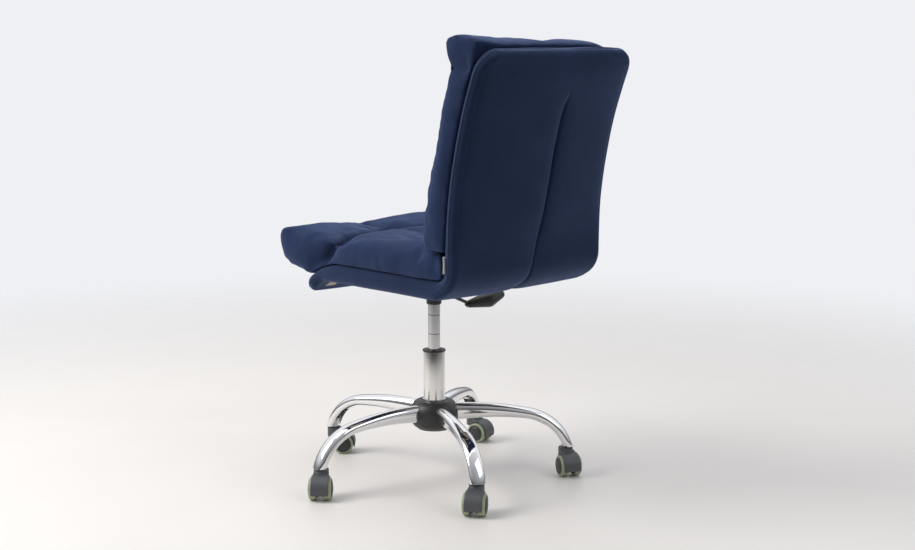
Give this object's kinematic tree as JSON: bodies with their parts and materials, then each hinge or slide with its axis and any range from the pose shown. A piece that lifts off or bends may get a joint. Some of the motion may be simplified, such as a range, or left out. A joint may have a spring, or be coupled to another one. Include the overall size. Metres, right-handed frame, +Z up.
{
  "type": "swivel office chair",
  "caption": "Armless swivel desk chair: upholstered one-piece shell, loose tufted seat and back cushions, gas lift and a chromed star base on twin-wheel casters.",
  "frame": {"origin": "on the floor, on the column's axis, with the lift fully up", "axes": "+Z up, -Y the way the sitter faces, +X the sitter's left"},
  "size_m": [0.6634, 0.7319, 1.0153],
  "materials": {
    "chrome": "polished chrome plate",
    "column_chrome": "satin chrome plate",
    "black_plastic": "fine moulded grain",
    "black_steel": "black powder coat",
    "plain_steel": "zinc plated",
    "hood_plastic": "moulded charcoal nylon",
    "wheel_plastic": "moulded charcoal nylon",
    "tread": "soft pale sage tread",
    "plywood": "moulded plywood",
    "shell_fabric": "navy velvet",
    "cushion_fabric": "navy velvet",
    "lining": "beige lining cloth",
    "tag": "white woven tape"
  },
  "bodies": {
    "base": {"hub_tube": "chrome", "hub_cover": "black_plastic", "leg_1": "chrome", "leg_2": "chrome", "leg_3": "chrome", "leg_4": "chrome", "leg_5": "chrome", "stem_sockets": "chrome", "column_tube": "column_chrome", "column_bush": "black_plastic", "thrust_bearing": "plain_steel"},
    "lift_rod": {"piston_rod": "plain_steel", "retaining_clip": "plain_steel"},
    "seat": {"gas_cylinder": "chrome", "taper_collar": "black_steel", "mechanism_box": "black_steel", "seat_plate": "black_steel", "seat_bolts": "plain_steel", "tee_nuts": "plain_steel", "lever_pin": "plain_steel", "shell_board": "plywood", "shell_inner_cover": "shell_fabric", "shell_outer_cover": "shell_fabric", "underside_lining": "lining", "seat_cushion": "cushion_fabric", "back_cushion": "cushion_fabric", "fabric_tag": "tag"},
    "lever": {"lever_rod": "black_steel", "lever_paddle": "black_plastic"},
    "valve": {"valve_button": "plain_steel"},
    "caster_1": {"caster_hood_1": "hood_plastic", "caster_pins_1": "plain_steel"},
    "left_wheel_1": {"wheel_left_1": "wheel_plastic", "tread_left_1": "tread"},
    "right_wheel_1": {"wheel_right_1": "wheel_plastic", "tread_right_1": "tread"},
    "caster_2": {"caster_hood_2": "hood_plastic", "caster_pins_2": "plain_steel"},
    "left_wheel_2": {"wheel_left_2": "wheel_plastic", "tread_left_2": "tread"},
    "right_wheel_2": {"wheel_right_2": "wheel_plastic", "tread_right_2": "tread"},
    "caster_3": {"caster_hood_3": "hood_plastic", "caster_pins_3": "plain_steel"},
    "left_wheel_3": {"wheel_left_3": "wheel_plastic", "tread_left_3": "tread"},
    "right_wheel_3": {"wheel_right_3": "wheel_plastic", "tread_right_3": "tread"},
    "caster_4": {"caster_hood_4": "hood_plastic", "caster_pins_4": "plain_steel"},
    "left_wheel_4": {"wheel_left_4": "wheel_plastic", "tread_left_4": "tread"},
    "right_wheel_4": {"wheel_right_4": "wheel_plastic", "tread_right_4": "tread"},
    "caster_5": {"caster_hood_5": "hood_plastic", "caster_pins_5": "plain_steel"},
    "left_wheel_5": {"wheel_left_5": "wheel_plastic", "tread_left_5": "tread"},
    "right_wheel_5": {"wheel_right_5": "wheel_plastic", "tread_right_5": "tread"}
  },
  "joints": [
    {"name": "seat_swivel", "type": "hinge", "parent": "base", "child": "lift_rod", "pos_m": [0, 0, 0.2], "axis": [0, 0, 1], "continuous": true},
    {"name": "height_slide", "type": "slide", "parent": "lift_rod", "child": "seat", "axis": [0, 0, 1], "range_m": [-0.085, 0]},
    {"name": "lever_lift", "type": "hinge", "parent": "seat", "child": "lever", "pos_m": [-0.026, 0, 0.44977], "axis": [0, 1, 0], "range_deg": [0, 6]},
    {"name": "valve_press", "type": "slide", "parent": "seat", "child": "valve", "axis": [0, 0, -1], "range_m": [0, 0.0028], "stiffness_N_per_m": 600},
    {"name": "caster_turn_1", "type": "hinge", "parent": "base", "child": "caster_1", "pos_m": [0.30599, -0.043, 0.07], "axis": [0, 0, 1], "continuous": true},
    {"name": "left_wheel_spin_1", "type": "hinge", "parent": "caster_1", "child": "left_wheel_1", "pos_m": [0.32155, -0.02745, 0.025], "axis": [-0.7071, 0.7071, 0], "continuous": true},
    {"name": "right_wheel_spin_1", "type": "hinge", "parent": "caster_1", "child": "right_wheel_1", "pos_m": [0.32155, -0.02745, 0.025], "axis": [-0.7071, 0.7071, 0], "continuous": true},
    {"name": "caster_turn_2", "type": "hinge", "parent": "base", "child": "caster_2", "pos_m": [0.13546, 0.27773, 0.07], "axis": [0, 0, 1], "continuous": true},
    {"name": "left_wheel_spin_2", "type": "hinge", "parent": "caster_2", "child": "left_wheel_2", "pos_m": [0.15348, 0.29035, 0.025], "axis": [-0.5736, 0.8192, 0], "continuous": true},
    {"name": "right_wheel_spin_2", "type": "hinge", "parent": "caster_2", "child": "right_wheel_2", "pos_m": [0.15348, 0.29035, 0.025], "axis": [-0.5736, 0.8192, 0], "continuous": true},
    {"name": "caster_turn_3", "type": "hinge", "parent": "base", "child": "caster_3", "pos_m": [-0.22228, 0.21465, 0.07], "axis": [0, 0, 1], "continuous": true},
    {"name": "left_wheel_spin_3", "type": "hinge", "parent": "caster_3", "child": "left_wheel_3", "pos_m": [-0.21229, 0.23425, 0.025], "axis": [-0.891, 0.454, 0], "continuous": true},
    {"name": "right_wheel_spin_3", "type": "hinge", "parent": "caster_3", "child": "right_wheel_3", "pos_m": [-0.21229, 0.23425, 0.025], "axis": [-0.891, 0.454, 0], "continuous": true},
    {"name": "caster_turn_4", "type": "hinge", "parent": "base", "child": "caster_4", "pos_m": [-0.27283, -0.14507, 0.07], "axis": [0, 0, 1], "continuous": true},
    {"name": "left_wheel_spin_4", "type": "hinge", "parent": "caster_4", "child": "left_wheel_4", "pos_m": [-0.27741, -0.12355, 0.025], "axis": [-0.9781, -0.2079, 0], "continuous": true},
    {"name": "right_wheel_spin_4", "type": "hinge", "parent": "caster_4", "child": "right_wheel_4", "pos_m": [-0.27741, -0.12355, 0.025], "axis": [-0.9781, -0.2079, 0], "continuous": true},
    {"name": "caster_turn_5", "type": "hinge", "parent": "base", "child": "caster_5", "pos_m": [0.05366, -0.30431, 0.07], "axis": [0, 0, 1], "continuous": true},
    {"name": "left_wheel_spin_5", "type": "hinge", "parent": "caster_5", "child": "left_wheel_5", "pos_m": [0.03757, -0.2893, 0.025], "axis": [-0.682, -0.7314, 0], "continuous": true},
    {"name": "right_wheel_spin_5", "type": "hinge", "parent": "caster_5", "child": "right_wheel_5", "pos_m": [0.03757, -0.2893, 0.025], "axis": [-0.682, -0.7314, 0], "continuous": true}
  ],
  "couplings": [
    {"joint": "valve_press", "follows": "lever_lift", "m_per_rad": 0.026}
  ]
}
